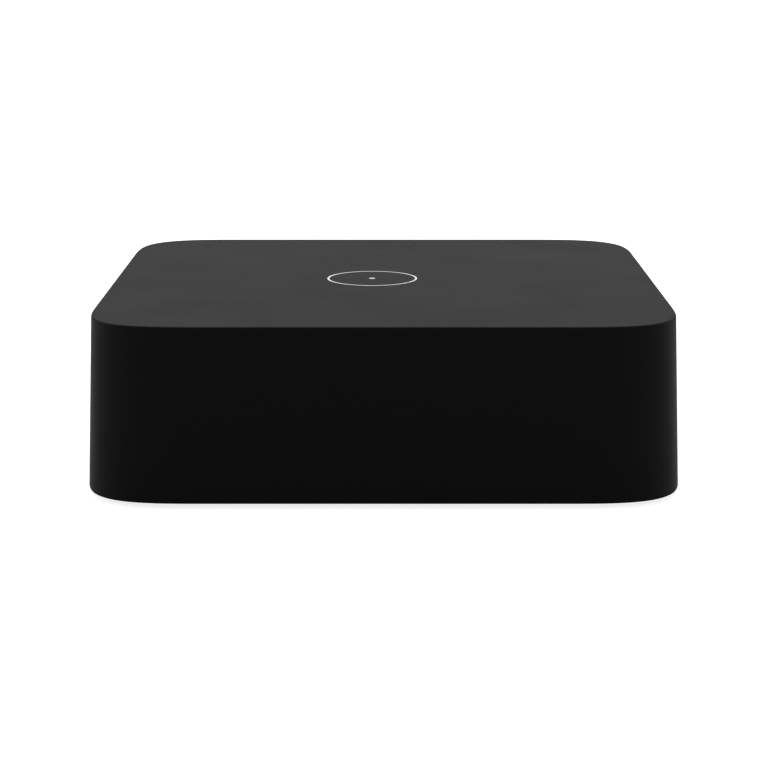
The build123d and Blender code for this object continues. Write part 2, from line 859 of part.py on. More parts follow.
# ------------------------------------------------- front receiver and status light


def infra_red_receiver():
    """Upright package with a lens that looks at the front wall."""
    width, depth, height = receiver_size
    body = standing(receiver_size, receiver_x, front_parts_y + depth / 2, board_top)
    lens_face = front_parts_y - receiver_dome_reach
    centre = (receiver_x, lens_face + receiver_dome_radius, receiver_z)
    ball = Pos(*centre) * Sphere(receiver_dome_radius)
    low = (receiver_x - width, lens_face, board_top)
    keep = block(low, (receiver_x + width, front_parts_y + depth / 2, board_top + height))
    return body + (ball & keep)


def status_led():
    return standing(led_size, status_x, front_parts_y + led_size[1] / 2, board_top)


def status_light_guide():
    """Clear rod from the light to the skin of the front wall."""
    start = front_parts_y - seat_gap
    return rod_in(guide_radius, status_x, guide_z, start, start - guide_end() - seat_gap)


# ----------------------------------------------------------------------- aerials


def aerial(side):
    x = side * (cavity_width / 2 - seat_gap - aerial_size[0] / 2)
    return Pos(x, aerial_y, aerial_z) * Box(*aerial_size)


def lead_plug_place(side):
    """Where a lead's plug sits on the radio's board, beside the can."""
    return module_x + module_size[0] / 2 - lead_plug_inset, module_y + side * lead_plug_side


def lead_plugs():
    places = [lead_plug_place(side) for side in (-1, 1)]
    return together(post(lead_plug_radius, lead_plug_height, x, y, module_top) for x, y in places)


def lead_end(side):
    """X of a lead that lies on its aerial's inner face."""
    return side * (cavity_width / 2 - seat_gap - aerial_size[0] - lead_radius)


def lead(points, radii):
    path = FilletPolyline(*points, radius=radii)
    return sweep((path ^ 0) * Circle(lead_radius), path=path)


def right_lead():
    """Short lead: up from its plug, out over the board's edge and up the right aerial."""
    x, y = lead_plug_place(1)
    top = module_top + lead_plug_height
    over = top + 3.2
    end_x = lead_end(1)
    points = [(x, y, top), (x, y, over), (end_x, y - 2.0, over), (end_x, y - 2.0, aerial_z)]
    return lead(points, [1.4, 1.4])


def left_lead():
    """Long lead: up from its plug, and across the front of the board to the left aerial."""
    x, y = lead_plug_place(-1)
    top = module_top + lead_plug_height
    over = top + 4.0
    cross_y = board_front + 6.0
    cross_z = board_top + 3.0
    end_x = lead_end(-1)
    points = [
        (x, y, top),
        (x, y, over),
        (x + 2.4, y - 8.0, over),
        (x - 2.0, cross_y, cross_z + 2.0),
        (0.0, cross_y, cross_z),
        (end_x + 8.0, cross_y, cross_z + 1.0),
        (end_x, cross_y + 9.0, cross_z + 3.0),
        (end_x, aerial_y - 6.0, aerial_z - 1.0),
    ]
    return lead(points, [1.6, 1.6, 4.0, 8.0, 8.0, 5.0])


# ------------------------------------------------------------------------ output

pieces = {
    "housing": housing,
    "base_cover": base_cover,
    "feet": feet,
    "cover_screws": cover_screws,
    "board_screws": board_screws,
    "port_panel": port_panel,
    "hdmi_shell": hdmi_shell,
    "hdmi_core": hdmi_core,
    "hdmi_contacts": hdmi_contacts,
    "usb_shell": usb_shell,
    "usb_core": usb_core,
    "usb_contacts": usb_contacts,
    "network_housing": network_housing,
    "network_shield": network_shield,
    "network_contacts": network_contacts,
    "network_lights": network_lights,
    "power_body": power_body,
    "power_pin": power_pin,
    "power_spring": power_spring,
    "reset_button": reset_button,
    "reset_plunger": reset_plunger,
    "reset_switch": reset_switch,
    "main_board": main_board,
    "processor": processor,
    "thermal_pad": thermal_pad,
    "heat_sink": heat_sink,
    "sink_pins": sink_pins,
    "sink_springs": sink_springs,
    "memory_chips": memory_chips,
    "storage_chip": storage_chip,
    "wireless_board": wireless_board,
    "wireless_can": wireless_can,
    "power_coils": power_coils,
    "capacitors": capacitors,
    "crystals": lambda: placed(crystal_size, crystal_xy),
    "regulators": lambda: placed(regulator_size, regulator_xy),
    "small_parts": small_parts,
    "network_transformer": network_transformer,
    "infra_red_receiver": infra_red_receiver,
    "status_led": status_led,
    "status_light_guide": status_light_guide,
    "left_aerial": lambda: aerial(-1),
    "right_aerial": lambda: aerial(1),
    "lead_plugs": lead_plugs,
    "left_lead": left_lead,
    "right_lead": right_lead,
}

os.makedirs("parts", exist_ok=True)
for name, make in pieces.items():
    export_step(make(), f"parts/{name}.step")
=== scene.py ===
"""Streaming media player: the looks of a small matt-black box with its sockets at the back.

Metres, +Z up, front towards -Y. It is laid out as an add-on and run as a script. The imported
model is the frame: sizes and places come from its nodes, and its own nodes are never moved.
"""

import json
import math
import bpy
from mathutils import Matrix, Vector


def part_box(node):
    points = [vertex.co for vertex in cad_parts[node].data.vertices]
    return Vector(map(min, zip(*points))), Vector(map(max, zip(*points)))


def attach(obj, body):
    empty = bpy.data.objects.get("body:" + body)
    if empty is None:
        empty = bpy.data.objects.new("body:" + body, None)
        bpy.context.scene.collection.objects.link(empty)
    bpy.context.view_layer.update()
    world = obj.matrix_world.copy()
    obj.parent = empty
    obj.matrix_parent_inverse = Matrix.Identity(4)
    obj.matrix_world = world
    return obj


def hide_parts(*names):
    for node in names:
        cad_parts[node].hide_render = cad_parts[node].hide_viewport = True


bl_info = {
    "name": "Streaming Media Player",
    "version": (1, 0, 0),
    "blender": (4, 5, 0),
    "location": "3D View > Sidebar > Media Player",
    "description": "Models the shells, sockets and finishes of a small media player on its frame",
    "category": "Object",
}

import bmesh
import bpy
from bpy.props import FloatProperty, FloatVectorProperty, IntProperty, PointerProperty
from mathutils import Vector

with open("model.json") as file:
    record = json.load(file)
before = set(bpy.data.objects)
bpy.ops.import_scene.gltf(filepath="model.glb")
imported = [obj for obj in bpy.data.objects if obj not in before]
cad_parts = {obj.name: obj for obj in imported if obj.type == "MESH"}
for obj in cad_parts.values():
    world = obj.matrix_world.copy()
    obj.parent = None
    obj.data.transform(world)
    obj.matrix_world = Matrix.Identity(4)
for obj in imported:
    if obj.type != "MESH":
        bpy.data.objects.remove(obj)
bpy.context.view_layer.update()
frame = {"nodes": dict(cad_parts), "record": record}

MM = 0.001
WELD = 1e-7  # points nearer than this are one point
PAST = 1.0 * MM  # how far a cutter runs past the face that it opens
LEVEL = 0.01 * MM  # points nearer than this to a height lie at it
NEAR = 0.1 * MM  # how far past its cutter an edge may lie and still be found
CUT_EDGE = 60  # degrees; the edges that a straight cut leaves are sharper than this
STRAIGHT = 0.999  # cosine above which an edge counts as lying along an axis
FULL_ROUND = 0.999  # of half a slot's width, which leaves its round ends a hair of flat
OWN = "player_"  # starts a material's name, because the frame's own have the slots' names

MASK_LOW, MASK_HIGH = 0.3, 0.7  # the part of the patchy mask that is spread out
MIX_A, MIX_B, MIX_RESULT = 6, 7, 2  # the Mix node's colour sockets
ROUGHNESS_VARY = 0.04  # how far the roughness varies either way

FLOOR_SIZE = 6
FLOOR_DROP = 0.02 * MM  # keeps the floor off the soles
FLOOR_MATT = 0.5  # lights the object
FLOOR_GLOW = 0.82  # added for what the camera, gloss and glass see
WORLD_LIGHT, WORLD_SEEN = 0.45, 1.0
LAMPS = (  # name, place, aim, width and height, watts
    ("key_light", (0.0, 0.55, 0.75), (0, 0, 0), (1.1, 0.7), 9.0),
    ("left_light", (-0.95, -0.1, 0.35), (0, 0, 0.015), (0.5, 0.6), 2.5),
    ("right_light", (0.95, -0.1, 0.35), (0, 0, 0.015), (0.5, 0.6), 2.5),
)
CAMERA_PITCH = 12.187  # degrees downwards
CAMERA_X, CAMERA_Y, CAMERA_RISE = 0.055 * MM, -384.8 * MM, 92.4 * MM  # the rise is from the rim
LENS, SENSOR = 99.607, 36.0  # millimetres


# ---------------------------------------------------------------- settings


def length(label, millimetres, about):
    """Property for a length, whose default is given in millimetres."""
    return FloatProperty(name=label, default=millimetres * MM, description=about, unit="LENGTH", precision=5)


def colour(label, rgb, about):
    """Property for a surface colour."""
    return FloatVectorProperty(name=label, default=rgb, description=about, subtype="COLOR", min=0, max=1)


class CaseSizes(bpy.types.PropertyGroup):
    """Sizes of the one-piece case."""

    side_draft: FloatProperty(
        name="Side draft", default=math.radians(2.0), description="How far the sides lean in", subtype="ANGLE"
    )
    corner_reach: length("Corner reach", 21.0, "From an outline corner to where its side starts to curve")
    corner_fullness: FloatProperty(
        name="Corner fullness", default=0.6675, min=0.5, max=0.95,
        description="0.5 is a plain arc; more is squarer",
    )
    corner_steps: IntProperty(name="Corner steps", default=28, description="Flat steps that make up a corner")
    wall: length("Wall", 1.8, "Thickness of the sides where they meet the roof")
    roof: length("Roof", 2.2, "Thickness of the roof")
    step: length("Step", 0.8, "Width of the step that the bottom plate sits on")
    top_round: length("Top edge round", 0.4, "Round along the top edge")
    rim_round: length("Rim round", 0.25, "Round along the bottom rim")
    window_width: length("Window width", 68.0, "Width of the window in the back")
    window_low: length("Window low edge", 4.6, "Height of the window's lower edge")
    window_margin: length("Window margin", 1.4, "From the tallest socket to the window's upper edge")
    window_corner: length("Window corner", 1.5, "Corner round of the window")
    window_round: length("Window edge round", 0.3, "Round along the window's outer edge")


class MarkSizes(bpy.types.PropertyGroup):
    """Sizes of the plain ring printed on the top."""

    x: length("Across", -2.1, "Middle of the ring, from the middle of the case")
    y: length("Along", -0.5, "Middle of the ring, from the middle of the case")
    radius: length("Radius", 8.2, "Outer radius of the ring")
    line: length("Line", 0.34, "Width of the printed line")
    dot: length("Dot", 0.55, "Radius of the dot in the middle")
    ink: length("Ink", 0.012, "Thickness of the ink")


class BottomSizes(bpy.types.PropertyGroup):
    """Sizes of the bottom plate and the feet."""

    thickness: length("Thickness", 2.0, "Thickness of the plate")
    edge_round: length("Edge round", 0.15, "Round along the plate's lower edges")
    vent_count: IntProperty(name="Vents", default=9, description="Air slots under the processor")
    vent_width: length("Vent width", 2.0, "Width of an air slot")
    vent_length: length("Vent length", 24.0, "Length of an air slot")
    vent_pitch: length("Vent pitch", 4.6, "From one air slot to the next")
    vent_y: length("Vent row", -8.0, "Middle of the row, from the middle of the case")
    label_width: length("Label width", 46.0, "Width of the bare label recess")
    label_depth: length("Label depth", 16.0, "Depth of the bare label recess, front to back")
    label_sink: length("Label sink", 0.3, "How deep the recess is cut")
    label_corner: length("Label corner", 2.0, "Corner round of the recess")
    label_y: length("Label place", 27.0, "Middle of the recess, from the middle of the case")
    foot_radius: length("Foot radius", 6.0, "Radius of a rubber foot")
    foot_round: length("Foot round", 0.4, "Round along the sole of a foot")
    gap: length("Foot gap", 0.15, "Gap round a foot in its recess")
    standoff: length("Standoff radius", 3.0, "Radius of the posts that carry the board")
    screw_head: length("Screw head radius", 2.4, "Radius of the board screws' heads")


class PanelSizes(bpy.types.PropertyGroup):
    """Sizes of the port panel's holes."""

    gap: length("Socket gap", 0.25, "Gap round a socket")
    button_gap: length("Button gap", 0.15, "Gap round the reset button")
    hole_round: length("Hole round", 0.2, "Round along the edge of each hole")
    vent_count: IntProperty(name="Vents", default=10, description="Upright air slots in the row")
    vent_width: length("Vent width", 1.5, "Width of an air slot")
    vent_height: length("Vent height", 4.4, "Height of an air slot")
    vent_pitch: length("Vent pitch", 3.0, "From one air slot to the next")
    vent_x: length("Vent row across", -3.0, "Middle of the row")
    vent_z: length("Vent row height", 18.2, "Height of the row's middle")


class SocketSizes(bpy.types.PropertyGroup):
    """Sizes of the sockets' folded shells and of the power inlet."""

    video_metal: length("Video metal", 0.4, "Thickness of the video socket's shell")
    video_cut_x: length("Video slope width", 1.9, "Width of its sloping lower corners")
    video_cut_z: length("Video slope height", 1.5, "Height of its sloping lower corners")
    video_corner: length("Video corner", 0.8, "Outer corner round of the video socket's shell")
    data_metal: length("Data metal", 0.3, "Thickness of the data socket's shell")
    data_corner: length("Data corner", 0.8, "Outer corner round of the data socket's shell")
    lip: length("Lip round", 0.1, "Round along a shell's mouth")
    bore_radius: length("Inlet bore radius", 3.0, "Radius of the power inlet's bore")
    bore_depth: length("Inlet bore depth", 10.0, "Depth of the power inlet's bore")
    barrel_wall: length("Inlet barrel wall", 1.2, "Wall round the bore")
    button_flange: length("Button flange", 1.0, "Thickness of the reset button's flange")
    button_radius: length("Button radius", 1.4, "Radius of the reset button's cap")


class Finishes(bpy.types.PropertyGroup):
    """Colours of the visible surfaces."""

    case: colour("Case", (0.0056, 0.0056, 0.0057), "Fine-grained black plastic")
    cover: colour("Bottom plate", (0.012, 0.012, 0.012), "Coarser black plastic")
    panel: colour("Port panel", (0.010, 0.010, 0.010), "Satin black plastic")
    rubber: colour("Feet", (0.024, 0.024, 0.025), "Soft matt rubber")
    ink: colour("Printed ring", (0.62, 0.62, 0.62), "Pale printing ink")
    button: colour("Reset button", (0.05, 0.05, 0.052), "Satin dark grey plastic")
    board: colour("Board", (0.006, 0.045, 0.022), "Solder mask")


GROUPS = {
    "player_case": CaseSizes,
    "player_mark": MarkSizes,
    "player_bottom": BottomSizes,
    "player_panel": PanelSizes,
    "player_sockets": SocketSizes,
    "player_finishes": Finishes,
}


# ---------------------------------------------------------- modelling helpers


def deselect():
    """Leaves edit mode and selects nothing."""
    if bpy.context.object and bpy.context.object.mode != "OBJECT":
        bpy.ops.object.mode_set(mode="OBJECT")
    bpy.ops.object.select_all(action="DESELECT")


def pick(piece):
    """Makes a piece the only one selected."""
    deselect()
    piece.select_set(True)
    bpy.context.view_layer.objects.active = piece


def fresh(name):
    """Names the primitive that was just added and puts its place into its mesh."""
    piece = bpy.context.object
    piece.name = piece.data.name = name
    bpy.ops.object.transform_apply(location=True, rotation=True, scale=True)
    return piece


def block(name, low, high):
    """Box between two corners."""
    low, high = Vector(low), Vector(high)
    deselect()
    bpy.ops.mesh.primitive_cube_add(size=1, location=(low + high) / 2, scale=high - low)
    return fresh(name)


def rod(name, radius, start, end, steps=96):
    """Round bar from one point to another."""
    start, end = Vector(start), Vector(end)
    turn = (end - start).to_track_quat("Z", "Y").to_euler()
    deselect()
    bpy.ops.mesh.primitive_cylinder_add(
        vertices=steps, radius=radius, depth=(end - start).length, location=(start + end) / 2, rotation=turn
    )
    return fresh(name)


def choose(piece, kind, test):
    """Goes into edit mode and selects the faces, edges or points that pass a test."""
    pick(piece)
    bpy.ops.object.mode_set(mode="EDIT")
    bpy.ops.mesh.select_mode(type=kind)
    bpy.ops.mesh.select_all(action="DESELECT")
    mesh = bmesh.from_edit_mesh(piece.data)
    mesh.normal_update()
    for part in {"FACE": mesh.faces, "EDGE": mesh.edges, "VERT": mesh.verts}[kind]:
        if test(part):
            part.select_set(True)
    mesh.select_flush_mode()
    bmesh.update_edit_mesh(piece.data)


def middle(part):
    """Middle of an edge's or a face's points."""
    return sum((vert.co for vert in part.verts), Vector()) / len(part.verts)


def level(part, axis, value):
    """Whether all of a part's points lie at one value along an axis."""
    return all(abs(vert.co[axis] - value) < LEVEL for vert in part.verts)


def is_corner(edge, degrees=35):
    """Whether an edge is a sharp outer one."""
    return len(edge.link_faces) == 2 and edge.is_convex and edge.calc_face_angle(0) > math.radians(degrees)


def runs_along(edge, axis):
    """Whether an edge lies along an axis."""
    run = edge.verts[1].co - edge.verts[0].co
    return run.length > 0 and abs(run[axis]) / run.length > STRAIGHT


def bevel(piece, width, steps, test, profile=0.5):
    """Rounds the edges that pass a test."""
    choose(piece, "EDGE", test)
    bpy.ops.mesh.bevel(offset=width, segments=steps, profile=profile, affect="EDGES", clamp_overlap=True)
    bpy.ops.object.mode_set(mode="OBJECT")


def combine(piece, other, operation="DIFFERENCE"):
    """Cuts another shape from a piece, or joins it to it, and uses it up."""
    pick(piece)
    bpy.ops.object.modifier_add(type="BOOLEAN")
    modifier = piece.modifiers[-1]
    modifier.operation = operation
    modifier.solver = "EXACT"
    modifier.object = other
    bpy.ops.object.modifier_apply(modifier=modifier.name)
    bpy.data.objects.remove(other)
    return piece


def weld(piece):
    """Merges doubled points and dissolves the flat edges that cuts leave behind."""
    choose(piece, "VERT", lambda vert: True)
    bpy.ops.mesh.remove_doubles(threshold=WELD)
    bpy.ops.mesh.dissolve_limited(angle_limit=math.radians(0.05), delimit={"NORMAL"})
    bpy.ops.object.mode_set(mode="OBJECT")


def smooth(piece, degrees=30):
    """Smooth shading that keeps flat faces flat and sharp edges sharp."""
    pick(piece)
    bpy.ops.object.shade_smooth_by_angle(angle=math.radians(degrees))
    bpy.ops.object.modifier_add(type="WEIGHTED_NORMAL")
    modifier = piece.modifiers[-1]
    modifier.mode = "FACE_AREA"
    modifier.weight = 100
    modifier.keep_sharp = True
    bpy.ops.object.modifier_apply(modifier=modifier.name)


def copy_of(piece, name, shift):
    """Moved copy of a piece, with a mesh of its own."""
    pick(piece)
    bpy.ops.object.duplicate()
    twin = bpy.context.object
    twin.name = twin.data.name = name
    twin.location = shift
    bpy.ops.object.transform_apply(location=True, rotation=True, scale=True)
    return twin


def dress(piece, material):
    """Gives a piece its one material."""
    piece.data.materials.clear()
    piece.data.materials.append(material)


def outline_slab(name, size, low, high, reach, lean=0.0):
    """Slab with the case's full-cornered outline, whose top leans in all round."""
    case = bpy.context.scene.player_case
    deselect()
    bpy.ops.mesh.primitive_plane_add(size=1, location=(0, 0, low))
    piece = bpy.context.object
    piece.scale = (size.x, size.y, 1)
    piece = fresh(name)
    choose(piece, "VERT", lambda vert: True)
    bpy.ops.mesh.bevel(
        offset=reach, segments=case.corner_steps, profile=case.corner_fullness,
        affect="VERTICES", clamp_overlap=False,
    )
    bpy.ops.mesh.select_all(action="SELECT")
    bpy.ops.mesh.extrude_region_move(TRANSFORM_OT_translate={"value": (0, 0, high - low)})
    shrink = ((size.x - 2 * lean) / size.x, (size.y - 2 * lean) / size.y, 1)
    bpy.ops.transform.resize(value=shrink, center_override=(0, 0, high))
    bpy.ops.mesh.select_all(action="SELECT")
    bpy.ops.mesh.normals_make_consistent(inside=False)
    bpy.ops.object.mode_set(mode="OBJECT")
    return piece


# --------------------------------------------------------------------- finishes


def add_node(tree, kind, links=(), **values):
    """Adds a node, sets its attributes and plain inputs, and links outputs to its inputs."""
    node = tree.nodes.new(kind)
    for key, value in values.items():
        if hasattr(node, key):
            setattr(node, key, value)
        else:
            node.inputs[key.replace("_", " ")].default_value = value
    for socket, source in dict(links).items():
        tree.links.new(source, node.inputs[socket])
    return node


def effect_group(name, inputs, outputs, placed=True):
    """Empty node group with float inputs and their defaults, float outputs, and a place if asked."""
    group = bpy.data.node_groups.new(name, "ShaderNodeTree")
    if placed:
        group.interface.new_socket("Vector", in_out="INPUT", socket_type="NodeSocketVector")
    for label, default in inputs.items():
        socket = group.interface.new_socket(label, in_out="INPUT", socket_type="NodeSocketFloat")
        socket.default_value = default
    for label in outputs:
        group.interface.new_socket(label, in_out="OUTPUT", socket_type="NodeSocketFloat")
    return group, add_node(group, "NodeGroupInput"), add_node(group, "NodeGroupOutput")


def grain_group():
    """Moulded or spark-eroded grain: a height, and a patchy mask over larger areas."""
    inputs = {"Grain": 4000.0, "Patch": 60.0}
    group, given, result = effect_group("moulded_grain", inputs, ("Height", "Patch"))
    fine = add_node(
        group, "ShaderNodeTexNoise", {"Vector": given.outputs["Vector"], "Scale": given.outputs["Grain"]},
        Detail=3.0, Roughness=0.6,
    )
    pits = add_node(
        group, "ShaderNodeTexVoronoi", {"Vector": given.outputs["Vector"], "Scale": given.outputs["Grain"]},
    )
    both = {0: fine.outputs["Fac"], 1: pits.outputs["Distance"]}
    height = add_node(group, "ShaderNodeMath", both, operation="ADD")
    patch = add_node(
        group, "ShaderNodeTexNoise", {"Vector": given.outputs["Vector"], "Scale": given.outputs["Patch"]},
        Detail=4.0, Roughness=0.55,
    )
    group.links.new(height.outputs[0], result.inputs["Height"])
    group.links.new(patch.outputs["Fac"], result.inputs["Patch"])
    return group


def spread_group():
    """Turns a mask into values between a low and a high one."""
    inputs = {"Mask": 0.5, "Low": 0.0, "High": 1.0}
    group, given, result = effect_group("spread", inputs, ("Value",), placed=False)
    spread = add_node(
        group, "ShaderNodeMapRange",
        {"Value": given.outputs["Mask"], "To Min": given.outputs["Low"], "To Max": given.outputs["High"]},
        From_Min=MASK_LOW, From_Max=MASK_HIGH,
    )
    group.links.new(spread.outputs["Result"], result.inputs["Value"])
    return group


def use_group(tree, name, links, **values):
    """Places a shared effect in a material, with its own values."""
    node = tree.nodes.new("ShaderNodeGroup")
    node.node_tree = bpy.data.node_groups[name]
    for key, value in values.items():
        node.inputs[key].default_value = value
    for socket, source in links.items():
        tree.links.new(source, node.inputs[socket])
    return node


def finish(name, rgb, roughness, grain, depth, vary=0.08, patch=60.0, metallic=0.0, specular=0.5, **shader):
    """Grained surface: grains per metre, their depth in metres, and how far the colour varies."""
    material = bpy.data.materials.new(OWN + name)
    material.use_nodes = True
    material.diffuse_color = (*rgb, 1)
    tree = material.node_tree
    principled = tree.nodes["Principled BSDF"]
    place = add_node(tree, "ShaderNodeTexCoord").outputs["Object"]
    grained = use_group(tree, "moulded_grain", {"Vector": place}, Grain=grain, Patch=patch)
    mask = grained.outputs["Patch"]
    tint = add_node(tree, "ShaderNodeMix", {"Factor": mask}, data_type="RGBA")
    tint.inputs[MIX_A].default_value = (*(part * (1 - vary) for part in rgb), 1)
    tint.inputs[MIX_B].default_value = (*(part * (1 + vary) for part in rgb), 1)
    tree.links.new(tint.outputs[MIX_RESULT], principled.inputs["Base Color"])
    smoother, rougher = roughness * (1 - ROUGHNESS_VARY), min(1, roughness * (1 + ROUGHNESS_VARY))
    rough = use_group(tree, "spread", {"Mask": mask}, Low=smoother, High=rougher)
    tree.links.new(rough.outputs["Value"], principled.inputs["Roughness"])
    height = {"Height": grained.outputs["Height"]}
    bump = add_node(tree, "ShaderNodeBump", height, Strength=1.0, Distance=depth)
    tree.links.new(bump.outputs["Normal"], principled.inputs["Normal"])
    principled.inputs["Metallic"].default_value = metallic
    principled.inputs["Specular IOR Level"].default_value = specular
    for key, value in shader.items():
        principled.inputs[key.replace("_", " ")].default_value = value
    return material


def make_finishes():
    """Every material, by the record's slot names, and those that only new pieces use."""
    colours = bpy.context.scene.player_finishes
    grain_group()
    spread_group()
    steel = dict(metallic=1.0, grain=900.0, depth=0.4e-6)
    return {
        "case_plastic": finish("case_plastic", colours.case, 0.58, 3800, 5e-6, specular=0.024),
        "cover_plastic": finish("cover_plastic", colours.cover, 0.6, 2200, 12e-6, specular=0.2),
        "panel_plastic": finish("panel_plastic", colours.panel, 0.42, 3000, 4e-6, specular=0.3),
        "foot_rubber": finish("foot_rubber", colours.rubber, 0.8, 1500, 8e-6, specular=0.25),
        "button_plastic": finish("button_plastic", colours.button, 0.38, 3000, 3e-6),
        "board_laminate": finish("board_laminate", colours.board, 0.32, 700, 6e-6, patch=140.0),
        "screw_steel": finish("screw_steel", (0.16, 0.16, 0.17), 0.36, **steel),
        "bright_steel": finish("bright_steel", (0.62, 0.61, 0.59), 0.26, **steel),
        "spring_steel": finish("spring_steel", (0.5, 0.5, 0.5), 0.3, **steel),
        "sink_aluminium": finish("sink_aluminium", (0.72, 0.73, 0.74), 0.42, **steel),
        "can_aluminium": finish("can_aluminium", (0.75, 0.75, 0.76), 0.3, **steel),
        "gold_contact": finish("gold_contact", (0.83, 0.60, 0.25), 0.24, **steel),
        "socket_plastic": finish("socket_plastic", (0.017, 0.017, 0.017), 0.5, 2500, 4e-6, specular=0.35),
        "light_window": finish("light_window", (0.46, 0.52, 0.36), 0.35, 2500, 2e-6),
        "chip_epoxy": finish("chip_epoxy", (0.022, 0.022, 0.024), 0.55, 5000, 3e-6),
        "pad_rubber": finish("pad_rubber", (0.42, 0.45, 0.49), 0.75, 1500, 5e-6),
        "ceramic_part": finish("ceramic_part", (0.38, 0.30, 0.22), 0.5, 6000, 2e-6),
        "aerial_film": finish("aerial_film", (0.50, 0.24, 0.09), 0.35, 1800, 2e-6),
        "lead_jacket": finish("lead_jacket", (0.03, 0.03, 0.03), 0.45, 2500, 2e-6),
        "receiver_plastic": finish("receiver_plastic", (0.02, 0.006, 0.01), 0.12, 2500, 0.5e-6),
        "guide_plastic": finish(
            "guide_plastic", (0.8, 0.8, 0.8), 0.15, 2500, 0.5e-6, Transmission_Weight=0.9
        ),
        "ring_ink": finish("ring_ink", colours.ink, 0.55, 5000, 2e-6),
    }


# ----------------------------------------------------------------- shared values


def case_values():
    """Sizes that several operators work from."""
    case = bpy.context.scene.player_case
    low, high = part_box("housing")
    lean = (high.z - low.z) * math.tan(case.side_draft)
    return low, high, lean


def ride(piece, body, slot, material, *nodes):
    """Finishes a piece: gives it its finish and its body, and hides the nodes that it stands for."""
    dress(piece, bpy.data.materials[OWN + material])
    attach(piece, body)
    if nodes:
        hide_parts(*nodes)


# --------------------------------------------------------------------- operators


class PLAYER_OT_finishes(bpy.types.Operator):
    """Make every material and put it on the frame's own nodes"""

    bl_idname = "player.finishes"
    bl_label = "Finishes"

    def execute(self, context):
        made = make_finishes()
        for part in frame["record"]["subparts"]:
            dress(frame["nodes"][part["node"]], made[part["material_slot"]])
        return {"FINISHED"}


class PLAYER_OT_case(bpy.types.Operator):
    """Model the one-piece case: roof and leaning sides, open below, with its window"""

    bl_idname = "player.case"
    bl_label = "Case"

    def execute(self, context):
        case = context.scene.player_case
        low, high, lean = case_values()
        size = Vector((high.x - low.x, high.y - low.y))
        shell = outline_slab("case_shell", size, low.z, high.z, case.corner_reach, lean)
        bevel(shell, case.top_round, 4, lambda edge: level(edge, 2, high.z))
        bevel(shell, case.rim_round, 2, lambda edge: level(edge, 2, low.z))

        inset = lean + case.wall
        room = size - Vector((2 * inset, 2 * inset))
        under = low.z - PAST
        reach = case.corner_reach - inset
        combine(shell, outline_slab("cavity", room, under, high.z - case.roof, reach))
        seat = room + Vector((2 * case.step, 2 * case.step))
        panel_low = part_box("port_panel")[0]
        combine(shell, outline_slab("seat", seat, under, panel_low.z, reach + case.step))

        window_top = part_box("network_shield")[1].z + case.window_margin
        half = case.window_width / 2
        window = block("window", (-half, panel_low.y, case.window_low), (half, high.y + PAST, window_top))
        bevel(window, case.window_corner, 8, lambda edge: runs_along(edge, 1))
        combine(shell, window)
        weld(shell)

        def window_edge(edge):
            spot = middle(edge)
            across = abs(spot.x) < half + NEAR
            upright = case.window_low - NEAR < spot.z < window_top + NEAR
            outer = spot.y > high.y - lean - case.wall / 2
            return across and upright and outer and is_corner(edge, CUT_EDGE)

        bevel(shell, case.window_round, 3, window_edge)
        smooth(shell)
        ride(shell, "case", "case_plastic", "case_plastic", "housing")
        return {"FINISHED"}


class PLAYER_OT_mark(bpy.types.Operator):
    """Print the plain ring and its dot on the top"""

    bl_idname = "player.mark"
    bl_label = "Printed ring"

    def execute(self, context):
        mark = context.scene.player_mark
        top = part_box("housing")[1].z
        spot = Vector((mark.x, mark.y, top))
        up = Vector((0, 0, mark.ink))
        ring = rod("top_ring", mark.radius, spot, spot + up, steps=160)
        hole = rod("hole", mark.radius - mark.line, spot - up, spot + 2 * up, steps=160)
        combine(ring, hole)
        combine(ring, rod("dot", mark.dot, spot, spot + up, steps=32), "UNION")
        ride(ring, "case", "light_window", "ring_ink")
        return {"FINISHED"}


